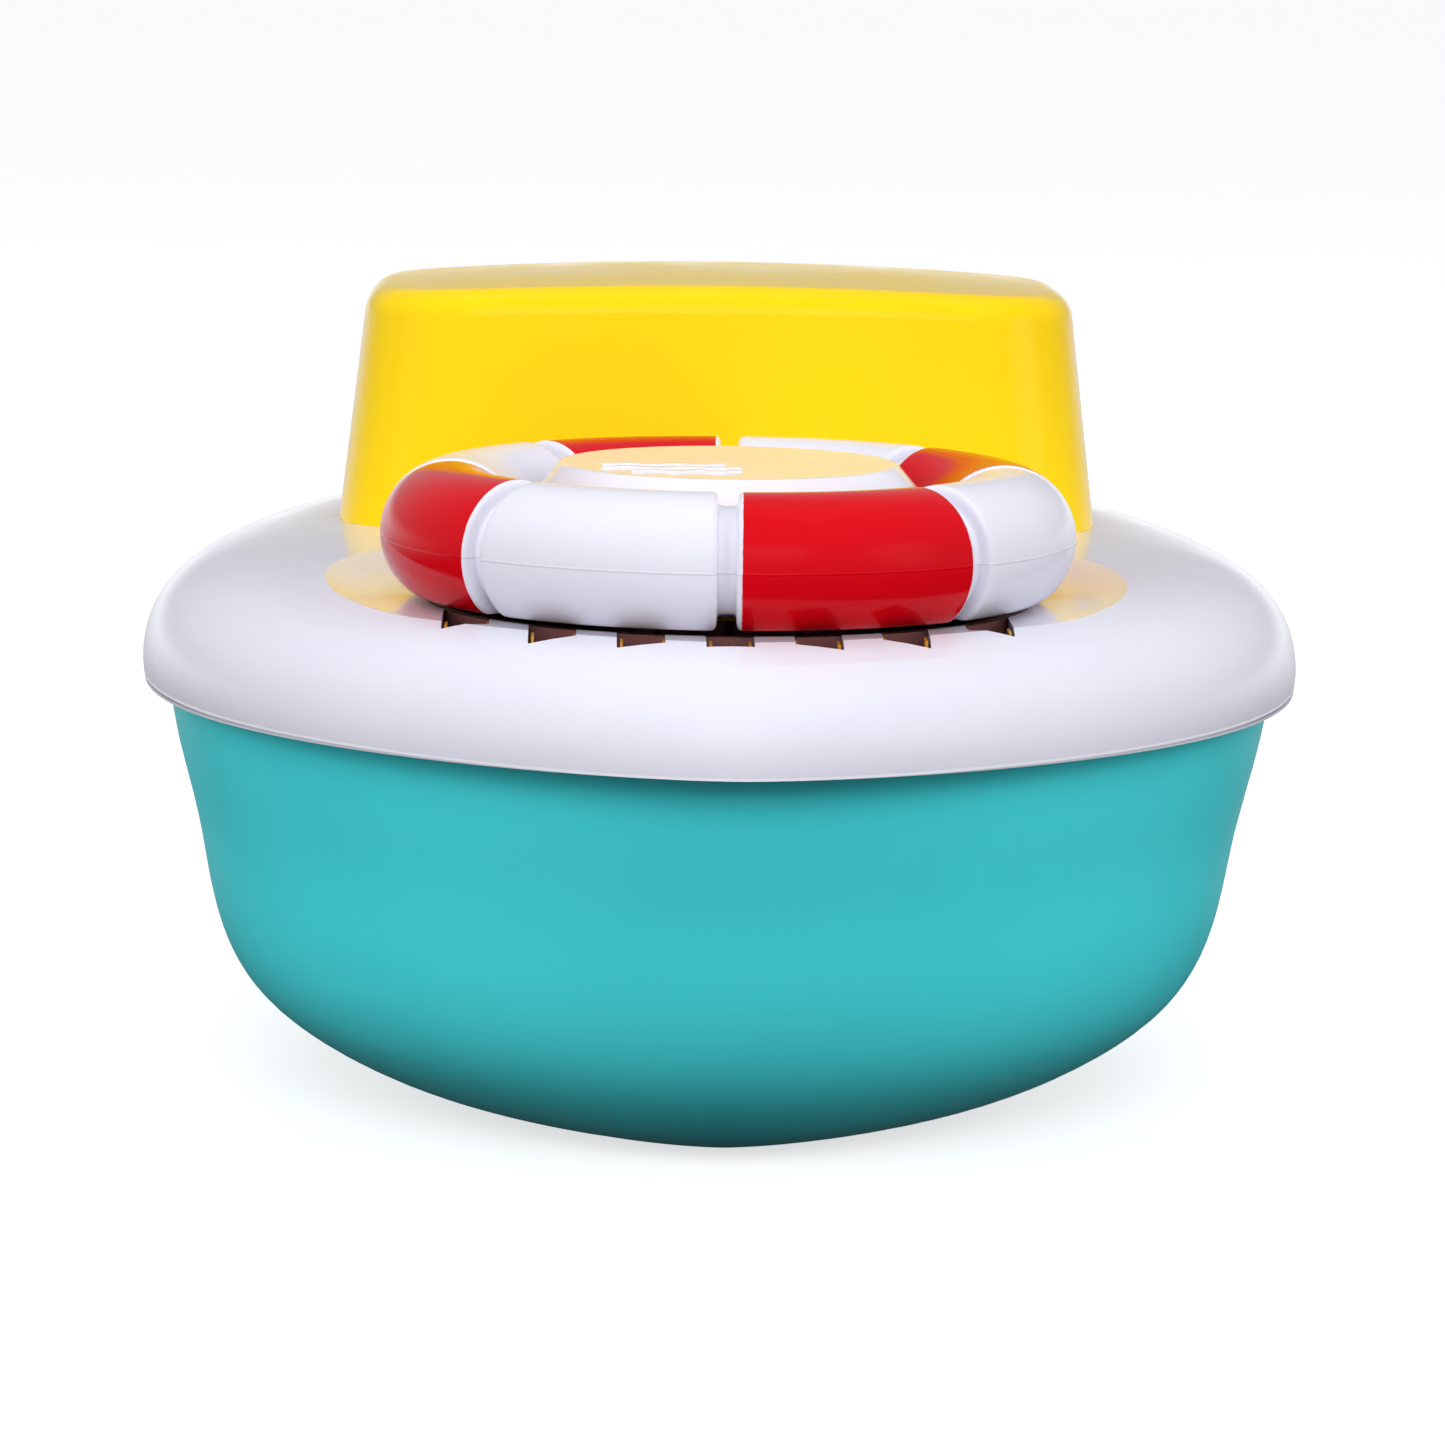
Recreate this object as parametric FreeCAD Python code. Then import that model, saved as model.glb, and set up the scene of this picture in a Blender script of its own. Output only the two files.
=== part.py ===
import FreeCAD, Part
import math
import os

from FreeCAD import Vector

# Toy boat: a bowl-shaped hull closed by a domed deck, a cabin hood, and a life-ring dial with a
# press button at its centre. Millimetres. The bow points along -Y, +Z is up, and the origin is
# the middle of the footprint on the surface that the boat stands on.

UP = Vector(0, 0, 1)
OUTLINE_POINTS = 48

# Plan of the deck at its widest line, measured from the midship station.
HALF_BEAM = 83.7
BOW_REACH = 112.0
STERN_REACH = 126.0
MIDSHIP_Y = (BOW_REACH - STERN_REACH) / 2

# Deck moulding.
DECK_WALL = 2.4
RIM_Z = 63.5                 # height of the widest line, which is also the mould's parting line
DECK_RISE = 16.5
DECK_FLAT_SHARE = 0.5        # the deck is flat inside this share of its plan
DECK_CROWN = 0.215           # smaller is squarer in the shoulder
DECK_TOP = RIM_Z + DECK_RISE * math.sqrt(1 - DECK_FLAT_SHARE ** (2 / DECK_CROWN))
SKIRT_DEPTH = 8.0
SKIRT_TUCK = 0.04            # share by which the skirt draws in below the widest line
SHEER_MID, SHEER_BOW, SHEER_STERN = 60.4, 61.3, 61.3

# Hull moulding.
HULL_WALL = 2.5
HULL_GAP = 0.3               # between the hull's rim and the deck's skirt
HULL_RIM_Z = 63.5
HULL_RIM = (81.0, 106.4, 120.6)      # half beam, bow reach, stern reach
BILGE_Z = 25.0
BILGE = (67.4, 73.5, 97.2)           # reach of the bilge curve before the flare is added
FLAT = (27.0, 47.0, 70.0)
HULL_STATIONS = (0.0, 1.2, 4.8, 10.3, 17.3, 25.0, 35.0, 46.0, 57.0, HULL_RIM_Z)
SEAL_TOP = HULL_RIM_Z + 1.5
SHELF = 2.0

# Screws and the towers that they close.
SHANK = 1.5
TOWERS = [(x, MIDSHIP_Y + y) for x in (-26, 26) for y in (-30, 62)]
TOWER_R, TOWER_WELL_R, TOWER_TOP, TOWER_SHELF = 6.0, 4.0, 57.0, 6.0
TOWER_SEAL = 1.2
DECK_BOSS_R = 4.6

# Dial: the life ring turns round a post in a round tray under the opening of the foredeck.
DIAL = Vector(0, MIDSHIP_Y - 50, 0)
WELL_FLOOR = 70.4
DISH_R, DISH_FLOOR = 49.4, 77.4      # the deck dips to this level under the ring
DISH_SLOPE = 11.0                    # width of the slope round the dish
OPENING_R = 42.0                     # opening of the dish, hidden under the ring
PAN_UNDER = DISH_FLOOR - 2.2
SLOT_WIDTH, SLOT_PITCH, SLOT_COUNT = 6.3, 11.6, 7
SLOT_SHIFT = -0.6                    # the row of slots sits this far off the middle
SLOT_REACH, SLOT_REACH_LOSS = 49.3, 0.045
TRAY_R, TRAY_WALL = 52.4, 1.8
COLLAR_R, COLLAR_TOP = OPENING_R - 0.2, DISH_FLOOR - 0.2
CLICKS = 24
PAD_R, PAD_TOP = 18.5, WELL_FLOOR + 6
DETENT_R = 1.0
RING_R, TUBE_R, TUBE_INNER_R = 38.1, 9.7, 6.2
RING_Z = WELL_FLOOR + 15.8
RING_SPLIT_Z = RING_Z - 0.75
RING_FLOOR = 78.1                    # flat underside of the ring
RING_SCREW_SEAT = RING_FLOOR + 2.1
GROOVES, GROOVE_WIDTH, GROOVE_DEPTH = 8, 2.5, 1.8
GROOVE_TURN = -1.4           # the ring rests this many degrees off the middle
GROOVE_ARCH = 2.2            # height of a groove's open end above the underside
SLEEVE_R, SLEEVE_BOTTOM, SLEEVE_TOP = 18.0, PAD_TOP + 0.45, PAD_TOP + 9.8
WEB_BOTTOM, WEB_TOP = PAD_TOP + 5, PAD_TOP + 7
RUNNING = 0.08               # radial clearance of a turning or sliding fit
POST_R, POST_TOP = 15.0, PAD_TOP + 12
FLANGE_R, FLANGE_BOTTOM = 19.0, POST_TOP - 2
HUB_SCREW_R, HUB_SCREW_CIRCLE = 2.8, 12.0

# Button.
STEM_R = 7.0
CAP_TOP, CAP_WALL, CAP_TOP_R, CAP_R = POST_TOP + 7.6, 2.3, 23.2, 26.1
CAP_SHOULDER = 3.4           # height of the slope round the cap's flat top
CAP_BOTTOM = POST_TOP + 0.5
CAP_UNDER = CAP_TOP - CAP_WALL
CAP_BOSS_R, CAP_BOSS_BOTTOM = 4.5, POST_TOP - 5
SPRING_R, SPRING_WIRE, SPRING_SEAT, SPRING_TURNS = 11.0, 0.55, POST_TOP - 3.5, 4.5
DECK_UNDER = WELL_FLOOR - DECK_WALL
STEM_BOTTOM = DECK_UNDER - 0.2
WASHER = 2.0
STEM_SCREW_HEAD = 2.4

# Squeaker, held in a cup under the well floor.
CUP_R, CUP_WALL, CUP_FLOOR, CUP_FLANGE_R = 17.5, 2.0, WELL_FLOOR - 23, 31.0
BELLOWS_TOP = STEM_BOTTOM - WASHER - STEM_SCREW_HEAD
REED_R = 5.2
CUP_SCREW_CIRCLE = 26.5

# Cabin hood.
CABIN_Y = MIDSHIP_Y + 37.5
CABIN_BASE = (57.4, 34.5)            # half width and half length where the sides start
CABIN_BASE_Z = 74.0
CABIN_SHOULDER = (53.1, 30.2)
CABIN_SHOULDER_Z = 109.9
CABIN_EDGE_R = 4.4
CABIN_CROWN = 2.1
CABIN_POWER = 4.6
CABIN_WALL = 2.2
CABIN_SCREWS = [(x, CABIN_Y + y) for x in (-40, 40) for y in (-21, 21)]
CABIN_COLUMN_R = 4.0
CABIN_SCREW_SEAT = DECK_TOP - DECK_WALL - 1.0

# Ballast.
BALLAST = (18.0, 36.0, 6.0)          # half width, half length, thickness
BALLAST_Y = MIDSHIP_Y + 16
BALLAST_POSTS = (-26, 26)
BALLAST_POST_R = 4.0


def signed_power(value, power):
    return math.copysign(abs(value) ** power, value)


def outline(half_beam, bow, stern, z):
    """Closed boat plan, slightly pointed at the bow and squarer towards the stern."""
    points = []
    for step in range(OUTLINE_POINTS):
        angle = 2 * math.pi * step / OUTLINE_POINTS
        across, along = math.cos(angle), math.sin(angle)
        fullness = 2 / (2 + (1.1 if along > 0 else -0.3) * along ** 2)
        reach = stern if along > 0 else bow
        points.append(Vector(half_beam * signed_power(across, fullness),
                             MIDSHIP_Y + reach * signed_power(along, fullness), z))
    return closed_wire(points)


def rounded_plan(half_width, half_length, centre_y, z, power):
    """Closed superellipse, a rectangle with soft corners."""
    points = []
    for step in range(OUTLINE_POINTS):
        angle = 2 * math.pi * step / OUTLINE_POINTS
        points.append(Vector(half_width * signed_power(math.cos(angle), 2 / power),
                             centre_y + half_length * signed_power(math.sin(angle), 2 / power), z))
    return closed_wire(points)


def closed_wire(points):
    curve = Part.BSplineCurve()
    curve.interpolate(Points=points, PeriodicFlag=True)
    return Part.Wire([curve.toShape()])


def loft(wires):
    """Smooth solid through the wires. Degree 3 keeps it from bulging between them."""
    return Part.makeLoft(wires, True, False, False, 3)


def cylinder(radius, bottom, top, centre):
    return Part.makeCylinder(radius, top - bottom, Vector(centre[0], centre[1], bottom), UP)


def tube(outer, inner, bottom, top, centre):
    return cylinder(outer, bottom, top, centre).cut(cylinder(inner, bottom - 1, top + 1, centre))


def fused(shapes):
    whole = shapes[0]
    return whole.multiFuse(shapes[1:]).removeSplitter() if len(shapes) > 1 else whole


def around(shape, centre, angle):
    """A copy of shape, turned about the vertical line through centre."""
    copy = shape.copy()
    copy.rotate(Vector(centre[0], centre[1], 0), UP, angle)
    return copy


def on_circle(centre, radius, angle):
    turn = math.radians(angle)
    return Vector(centre[0] + radius * math.cos(turn), centre[1] + radius * math.sin(turn), 0)


def screw(centre, seat, length, head_r, head, pointing=1):
    """Pan-head screw with a cross recess, its shank along +Z from the seat, or along -Z."""
    z = seat * pointing
    body = cylinder(head_r, z - head, z, centre)
    body = body.fuse(cylinder(SHANK, z, z + length - SHANK, centre))
    body = body.fuse(Part.makeCone(SHANK, 0.3, SHANK, Vector(centre[0], centre[1], z + length - SHANK), UP))
    rim = [edge for edge in body.Edges if abs(edge.BoundBox.ZMax - (z - head)) < 1e-6]
    body = body.makeFillet(0.4, rim)
    for angle in (0, 90):
        slot = Part.makeBox(head_r * 1.2, 0.7, head * 0.55,
                            Vector(centre[0] - head_r * 0.6, centre[1] - 0.35, z - head))
        body = body.cut(around(slot, centre, angle))
    if pointing < 0:
        body = body.mirror(Vector(0, 0, 0), UP)
    return body


# ---- hull -----------------------------------------------------------------------------------

def hull_levels(inset, floor):
    """Outlines of the hull: a flat bottom, a round bilge and sides that flare to the rim."""
    wires = []
    for height in HULL_STATIONS:
        bilge_share = math.sqrt(1 - max(0.0, 1 - height / BILGE_Z) ** 2)
        flare_share = height / HULL_RIM_Z
        sizes = [flat + (bilge - flat) * bilge_share + (rim - bilge) * flare_share - inset
                 for flat, bilge, rim in zip(FLAT, BILGE, HULL_RIM)]
        wires.append(outline(*sizes, floor + height * (1 - floor / HULL_RIM_Z)))
    return wires


def make_hull():
    shell = loft(hull_levels(0, 0)).cut(loft(hull_levels(HULL_WALL, HULL_WALL)))
    towers = [cylinder(TOWER_R, HULL_WALL / 2, TOWER_TOP, spot) for spot in TOWERS]
    posts = [cylinder(BALLAST_POST_R, HULL_WALL / 2, HULL_WALL + BALLAST[2] - 0.2, (0, BALLAST_Y + y))
             for y in BALLAST_POSTS]
    shell = fused([shell] + towers + posts)
    for spot in TOWERS:
        shell = shell.cut(cylinder(TOWER_WELL_R, -1, TOWER_TOP - TOWER_SHELF, spot))
        shell = shell.cut(cylinder(SHANK + 0.2, 0, TOWER_TOP + 1, spot))
    for y in BALLAST_POSTS:
        shell = shell.cut(cylinder(SHANK, HULL_WALL, HULL_WALL + BALLAST[2] + 1, (0, BALLAST_Y + y)))
    return shell


def make_hull_seal():
    outer = Part.Face(outline(*HULL_RIM, HULL_RIM_Z)).extrude(UP * (SEAL_TOP - HULL_RIM_Z))
    inner = Part.Face(outline(*[size - HULL_WALL for size in HULL_RIM], HULL_RIM_Z - 1)).extrude(UP * 4)
    return outer.cut(inner)


def make_hull_screws():
    return [screw(spot, TOWER_TOP - TOWER_SHELF, 16, 3.0, 2.4) for spot in TOWERS]


def make_tower_seals():
    return [tube(TOWER_R - 1, SHANK + 0.3, TOWER_TOP, TOWER_TOP + TOWER_SEAL, spot) for spot in TOWERS]


def make_ballast():
    half_width, half_length, thickness = BALLAST
    slab = Part.makeBox(2 * half_width, 2 * half_length, thickness,
                        Vector(-half_width, BALLAST_Y - half_length, HULL_WALL))
    corners = [edge for edge in slab.Edges if edge.BoundBox.ZLength > thickness - 0.1]
    slab = slab.makeFillet(4, corners)
    for y in BALLAST_POSTS:
        slab = slab.cut(cylinder(BALLAST_POST_R + 0.2, 0, 20, (0, BALLAST_Y + y)))
    return slab


def make_ballast_screws():
    return [screw((0, BALLAST_Y + y), HULL_WALL + BALLAST[2], 5.2, 5.6, 2.2, pointing=-1)
            for y in BALLAST_POSTS]


# ---- deck -----------------------------------------------------------------------------------

def deck_levels(inset, drop):
    """Outlines of the dome, from the widest line to the edge of its flat top."""
    wires = []
    flat_turn = math.degrees(math.asin(DECK_FLAT_SHARE ** (1 / DECK_CROWN)))
    for turn in (90, 76, 62, 48, 35, 23, 12, flat_turn):
        share = math.sin(math.radians(turn)) ** DECK_CROWN
        z = RIM_Z + DECK_RISE * math.cos(math.radians(turn))
        sizes = [share * (size - inset) for size in (HALF_BEAM, BOW_REACH, STERN_REACH)]
        wires.append(outline(*sizes, z - drop))
    return wires


def skirt_levels():
    wires = []
    for turn in (80, 55, 28):
        share = 1 - SKIRT_TUCK * (1 - math.cos(math.radians(turn)))
        z = RIM_Z - SKIRT_DEPTH * math.sin(math.radians(turn))
        wires.append(outline(*[share * size for size in (HALF_BEAM, BOW_REACH, STERN_REACH)], z))
    return wires


def deck_body():
    """The deck as one filled solid, used for its shell and to shape what stands on it."""
    return loft(skirt_levels() + deck_levels(0, 0)).cut(dial_dish())


def sheer_cutter():
    """Everything below the curved lower edge of the skirt."""
    side = -HALF_BEAM - 5
    bow = Vector(side, MIDSHIP_Y - BOW_REACH - 1, SHEER_BOW)
    mid = Vector(side, MIDSHIP_Y, SHEER_MID)
    stern = Vector(side, MIDSHIP_Y + STERN_REACH + 1, SHEER_STERN)
    low_bow, low_stern = Vector(side, bow.y, 40), Vector(side, stern.y, 40)
    edges = [Part.Arc(bow, mid, stern).toShape(), Part.makeLine(stern, low_stern),
             Part.makeLine(low_stern, low_bow), Part.makeLine(low_bow, bow)]
    return Part.Face(Part.Wire(edges)).extrude(Vector(-2 * side, 0, 0))


def dial_dish():
    """Shallow dish with a gentle slope, so that the crown of the deck passes under the ring."""
    rim = DISH_R + DISH_SLOPE
    start, level = Vector(DISH_R, 0, DISH_FLOOR), Vector(rim, 0, DECK_TOP + 0.1)
    slope = Part.BSplineCurve()
    slope.interpolate(Points=[start, (start + level) * 0.5, level],
                      InitialTangent=Vector(1, 0, 0), FinalTangent=Vector(1, 0, 0))
    corners = [level, Vector(rim, 0, 95), Vector(0, 0, 95), Vector(0, 0, DISH_FLOOR), start]
    edges = [slope.toShape()] + [Part.makeLine(a, b) for a, b in zip(corners, corners[1:])]
    solid = Part.Face(Part.Wire(edges)).revolve(Vector(0, 0, 0), UP, 360)
    solid.translate(DIAL)
    return solid


def dial_opening():
    """The opening under the ring, with a row of sound slots that all face forward."""
    bottom = SEAL_TOP + SHELF + 0.2
    tools = [cylinder(OPENING_R, bottom, 100, DIAL)]
    for count in range(SLOT_COUNT):
        x = (count - (SLOT_COUNT - 1) / 2) * SLOT_PITCH + SLOT_SHIFT
        reach = SLOT_REACH - SLOT_REACH_LOSS * abs(x)
        length = math.sqrt(reach ** 2 - x ** 2)
        tools.append(Part.makeBox(SLOT_WIDTH, length, 100 - bottom,
                                  Vector(DIAL.x + x - SLOT_WIDTH / 2, DIAL.y - length, bottom)))
    return fused(tools)


def deck_boss(spot, top):
    return cylinder(DECK_BOSS_R, TOWER_TOP + TOWER_SEAL, top, spot)


def make_deck(body):
    inner = loft(deck_levels(DECK_WALL, DECK_WALL))
    above_shelf = Part.makeBox(400, 400, 60, Vector(-200, -200, SEAL_TOP + SHELF))
    shell = body.cut(inner.common(above_shelf))
    rim_pocket = [size + HULL_GAP for size in HULL_RIM]
    shell = shell.cut(Part.Face(outline(*rim_pocket, 40)).extrude(UP * (SEAL_TOP - 40)))
    opening = [size - HULL_WALL - 0.6 for size in HULL_RIM]
    shell = shell.cut(Part.Face(outline(*opening, 60)).extrude(UP * (SEAL_TOP + SHELF + 1 - 60)))
    pan = cylinder(DISH_R + DISH_SLOPE + 1, PAN_UNDER, 95, DIAL).common(body)
    shell = shell.fuse(pan).cut(sheer_cutter()).cut(dial_opening())
    for spot in TOWERS:
        if spot[1] > 0:
            shell = shell.fuse(deck_boss(spot, DECK_TOP - 1))
            shell = shell.cut(cylinder(SHANK, TOWER_TOP, TOWER_TOP + 11.5, spot))
    for spot in CABIN_SCREWS:
        shell = shell.fuse(cylinder(CABIN_COLUMN_R, CABIN_SCREW_SEAT, DECK_TOP - 1.6, spot))
        shell = shell.cut(cylinder(SHANK + 0.1, 70, 95, spot))
    return shell


def make_dial_tray():
    """Round tray bonded under the deck's dish. Its pad carries the dial's post and click detents."""
    under_deck = loft(deck_levels(DECK_WALL + 0.05, DECK_WALL + 0.05))
    tray = cylinder(TRAY_R, DECK_UNDER, PAN_UNDER - 0.05, DIAL).cut(cylinder(TRAY_R - TRAY_WALL, WELL_FLOOR, 96, DIAL))
    tray = tray.common(under_deck).fuse(cylinder(PAD_R, DECK_UNDER, PAD_TOP, DIAL))
    tray = tray.fuse(tube(COLLAR_R, COLLAR_R - TRAY_WALL, DECK_UNDER + 1, COLLAR_TOP, DIAL))
    for angle in (30, 150, 270):
        spot = on_circle(DIAL, CUP_SCREW_CIRCLE, angle)
        tray = tray.fuse(cylinder(3.2, DECK_UNDER, WELL_FLOOR + 4, spot))
        tray = tray.cut(cylinder(SHANK, DECK_UNDER - 1, WELL_FLOOR + 3, spot))
    for spot in TOWERS:
        if spot[1] < 0:
            tray = tray.fuse(deck_boss(spot, WELL_FLOOR - 1))
            tray = tray.cut(cylinder(SHANK, TOWER_TOP, TOWER_TOP + 11.5, spot))
    tray = tray.cut(cylinder(STEM_R + 0.6, 60, 100, DIAL))
    tray = tray.cut(cylinder(STEM_R + 2.2, DECK_UNDER - 1, DECK_UNDER + 2, DIAL))
    for count in range(CLICKS):
        spot = on_circle(DIAL, PAD_R, 360 / CLICKS * count)
        tray = tray.cut(cylinder(DETENT_R, WELL_FLOOR, PAD_TOP + 1, spot))
    for angle in (90, 210, 330):
        spot = on_circle(DIAL, HUB_SCREW_CIRCLE, angle)
        tray = tray.cut(cylinder(HUB_SCREW_R, DECK_UNDER - 1, PAD_TOP - 3, spot))
        tray = tray.cut(cylinder(SHANK + 0.1, DECK_UNDER, PAD_TOP + 1, spot))
    return tray


# ---- cabin ----------------------------------------------------------------------------------

def cabin_solid(inset):
    """Hood with drawn-in sides, a crowned roof and a rounded roof edge."""
    height = CABIN_SHOULDER_Z - CABIN_BASE_Z
    over = 8.0
    upper = [top - (base - top) * over / height for base, top in zip(CABIN_BASE, CABIN_SHOULDER)]
    low = rounded_plan(*[size - inset for size in CABIN_BASE], CABIN_Y, CABIN_BASE_Z, CABIN_POWER)
    high = rounded_plan(*[size - inset for size in upper], CABIN_Y, CABIN_SHOULDER_Z + over, CABIN_POWER)
    sides = Part.makeLoft([low, high], True, True)
    crown_r = (CABIN_SHOULDER[0] ** 2 + CABIN_CROWN ** 2) / (2 * CABIN_CROWN)
    roof = CABIN_SHOULDER_Z + CABIN_EDGE_R + CABIN_CROWN - inset
    hood = sides.common(Part.makeSphere(crown_r, Vector(0, CABIN_Y, roof - crown_r)))
    edges = [edge for edge in hood.Edges if edge.BoundBox.ZMin > CABIN_SHOULDER_Z - 3]
    return hood.makeFillet(CABIN_EDGE_R - inset, edges)


def make_cabin(body):
    outer = cabin_solid(0)
    shell = outer.cut(cabin_solid(CABIN_WALL))
    columns = [cylinder(CABIN_COLUMN_R, 70, CABIN_SHOULDER_Z + CABIN_EDGE_R, spot) for spot in CABIN_SCREWS]
    shell = fused([shell] + [column.common(outer) for column in columns]).cut(body)
    for x, y in CABIN_SCREWS:
        shell = shell.cut(cylinder(SHANK, 70, DECK_TOP + 18, (x, y)))
    shell = max(shell.Solids, key=lambda solid: solid.Volume)
    return shell


def make_cabin_screws():
    return [screw(spot, CABIN_SCREW_SEAT, 12, 3.0, 2.4) for spot in CABIN_SCREWS]


# ---- life ring ------------------------------------------------------------------------------

def ring_torus(radius):
    return Part.makeTorus(RING_R, radius, Vector(DIAL.x, DIAL.y, RING_Z), UP)


def groove_tools():
    """Bars across the tube, hollowed so that they cut no deeper than the groove."""
    length = 2 * TUBE_R + 4
    bar = Part.makeBox(length, GROOVE_WIDTH, length,
                       Vector(DIAL.x + RING_R - length / 2, DIAL.y - GROOVE_WIDTH / 2, RING_Z - length / 2))
    bar = bar.cut(ring_torus(TUBE_R - GROOVE_DEPTH))
    return [around(bar, DIAL, GROOVE_TURN - 90 + 360 / GROOVES * count) for count in range(GROOVES)]


def groove_arches():
    """Open ends of the grooves at the ring's lower outer edge."""
    arch = Part.makeBox(8, GROOVE_WIDTH, RING_FLOOR + GROOVE_ARCH - 70,
                        Vector(DIAL.x + RING_R + 4, DIAL.y - GROOVE_WIDTH / 2, 70))
    return [around(arch, DIAL, GROOVE_TURN - 90 + 360 / GROOVES * count) for count in range(GROOVES)]


def ring_screw_spots():
    return [on_circle(DIAL, RING_R, 22.5 + 90 * count) for count in range(4)]


def half_space(low, high):
    return Part.makeBox(200, 200, high - low, Vector(DIAL.x - 100, DIAL.y - 100, low))


def make_ring_top():
    tube_solid = ring_torus(TUBE_R)
    shell = tube_solid.cut(ring_torus(TUBE_INNER_R))
    bosses = [cylinder(3.0, RING_SPLIT_Z, RING_Z + TUBE_R, spot).common(tube_solid)
              for spot in ring_screw_spots()]
    shell = fused([shell] + bosses).common(half_space(RING_SPLIT_Z, 110))
    for tool in groove_tools():
        shell = shell.cut(tool)
    for spot in ring_screw_spots():
        shell = shell.cut(cylinder(SHANK, RING_SPLIT_Z - 1, RING_SPLIT_Z + 5.2, spot))
    return shell


def make_ring_bottom():
    tube_solid = ring_torus(TUBE_R)
    shell = tube_solid.cut(ring_torus(TUBE_INNER_R))
    bosses = [cylinder(4.2, RING_Z - TUBE_R, RING_SPLIT_Z, spot).common(tube_solid)
              for spot in ring_screw_spots()]
    shell = fused([shell] + bosses).common(half_space(RING_FLOOR, RING_SPLIT_Z))
    for tool in groove_tools() + groove_arches():
        shell = shell.cut(tool)
    web = tube(RING_R - TUBE_INNER_R - 0.5, SLEEVE_R - 1, WEB_BOTTOM, WEB_TOP, DIAL)
    sleeve = cylinder(SLEEVE_R, SLEEVE_BOTTOM, SLEEVE_TOP, DIAL)
    pawl_boss = cylinder(2.8, WEB_TOP - 1, WEB_TOP + 1.2, on_circle(DIAL, 25, 0))
    shell = fused([shell, web.cut(ring_torus(TUBE_INNER_R)), sleeve, pawl_boss])
    shell = shell.cut(cylinder(POST_R + RUNNING, 60, 110, DIAL))
    shell = shell.cut(cylinder(SHANK, WEB_BOTTOM - 1, WEB_TOP + 0.9, on_circle(DIAL, 25, 0)))
    for spot in ring_screw_spots():
        shell = shell.cut(cylinder(2.9, 70, RING_SCREW_SEAT, spot))
        shell = shell.cut(cylinder(SHANK + 0.1, 70, RING_SPLIT_Z + 1, spot))
    return shell


def make_ring_screws():
    return [screw(spot, RING_SCREW_SEAT, 10.5, 2.7, 2.0) for spot in ring_screw_spots()]


def make_click_spring():
    """Leaf that hangs under the web and drops into a detent of the pad at every click."""
    base = Part.makeBox(8, 6, 1, Vector(DIAL.x + 20, DIAL.y - 3, WEB_BOTTOM - 1))
    foot = WELL_FLOOR + 2.5
    leaf = Part.makeBox(0.8, 6, WEB_BOTTOM - foot, Vector(DIAL.x + 20, DIAL.y - 3, foot))
    arm = Part.makeBox(1.4, 1.2, 3, Vector(DIAL.x + 18.9, DIAL.y - 0.6, foot))
    nib = cylinder(0.7, foot, foot + 3, on_circle(DIAL, 18.9, 0))
    spring = fused([base, leaf, arm, nib])
    return spring.cut(cylinder(SHANK + 0.1, WEB_BOTTOM - 2, WEB_TOP, on_circle(DIAL, 25, 0)))


def make_click_screw():
    return screw(on_circle(DIAL, 25, 0), WEB_BOTTOM - 1, 3.7, 2.6, 1.8)


def make_glide_washer():
    return tube(PAD_R - 0.2, POST_R + 0.2, PAD_TOP, SLEEVE_BOTTOM - 0.05, DIAL)


def make_hub_post():
    post = cylinder(POST_R, PAD_TOP, POST_TOP, DIAL).fuse(cylinder(FLANGE_R, FLANGE_BOTTOM, POST_TOP, DIAL))
    post = post.cut(cylinder(STEM_R + RUNNING, 60, 110, DIAL))
    post = post.cut(tube(SPRING_R + 1.4, SPRING_R - 1.4, SPRING_SEAT, POST_TOP + 1, DIAL))
    for angle in (90, 210, 330):
        post = post.cut(cylinder(SHANK, PAD_TOP - 1, PAD_TOP + 7.2, on_circle(DIAL, HUB_SCREW_CIRCLE, angle)))
    return post


def make_hub_screws():
    return [screw(on_circle(DIAL, HUB_SCREW_CIRCLE, angle), PAD_TOP - 3, 10, 2.6, 2.0)
            for angle in (90, 210, 330)]


# ---- button and squeaker --------------------------------------------------------------------

def revolved(profile):
    """Solid turned about the dial's axis from (radius, height) corners."""
    points = [Vector(radius, 0, z) for radius, z in profile]
    wire = Part.makePolygon(points + [points[0]])
    solid = Part.Face(wire).revolve(Vector(0, 0, 0), UP, 360)
    solid.translate(DIAL)
    return solid


def make_button_cap():
    inside = CAP_TOP_R - 0.6
    profile = [(0, CAP_TOP), (CAP_TOP_R, CAP_TOP), (CAP_R, CAP_TOP - CAP_SHOULDER), (CAP_R, CAP_BOTTOM),
               (inside, CAP_BOTTOM), (inside, CAP_UNDER), (CAP_BOSS_R, CAP_UNDER),
               (CAP_BOSS_R, CAP_BOSS_BOTTOM), (0, CAP_BOSS_BOTTOM)]
    cap = revolved(profile)
    for height, radius in ((CAP_TOP, 0.8), (CAP_TOP - CAP_SHOULDER, 2.2)):
        edge = [e for e in cap.Edges if abs(e.BoundBox.ZMin - height) < 1e-6
                and abs(e.BoundBox.ZMax - height) < 1e-6 and e.BoundBox.XLength > 40]
        cap = cap.makeFillet(radius, edge)
    return cap.cut(cylinder(SHANK, CAP_BOSS_BOTTOM - 1, CAP_BOSS_BOTTOM + 7, DIAL))


def make_plunger():
    stem = cylinder(STEM_R, STEM_BOTTOM, CAP_UNDER, DIAL)
    stem = stem.cut(cylinder(CAP_BOSS_R + 0.05, CAP_BOSS_BOTTOM, CAP_UNDER + 1, DIAL))
    return stem.cut(cylinder(SHANK + 0.2, 60, 90, DIAL))


def make_stop_washer():
    return tube(10.5, SHANK + 0.2, STEM_BOTTOM - WASHER, STEM_BOTTOM, DIAL)


def make_plunger_screw():
    return screw(DIAL, STEM_BOTTOM - WASHER, 24, 3.2, STEM_SCREW_HEAD)


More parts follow.
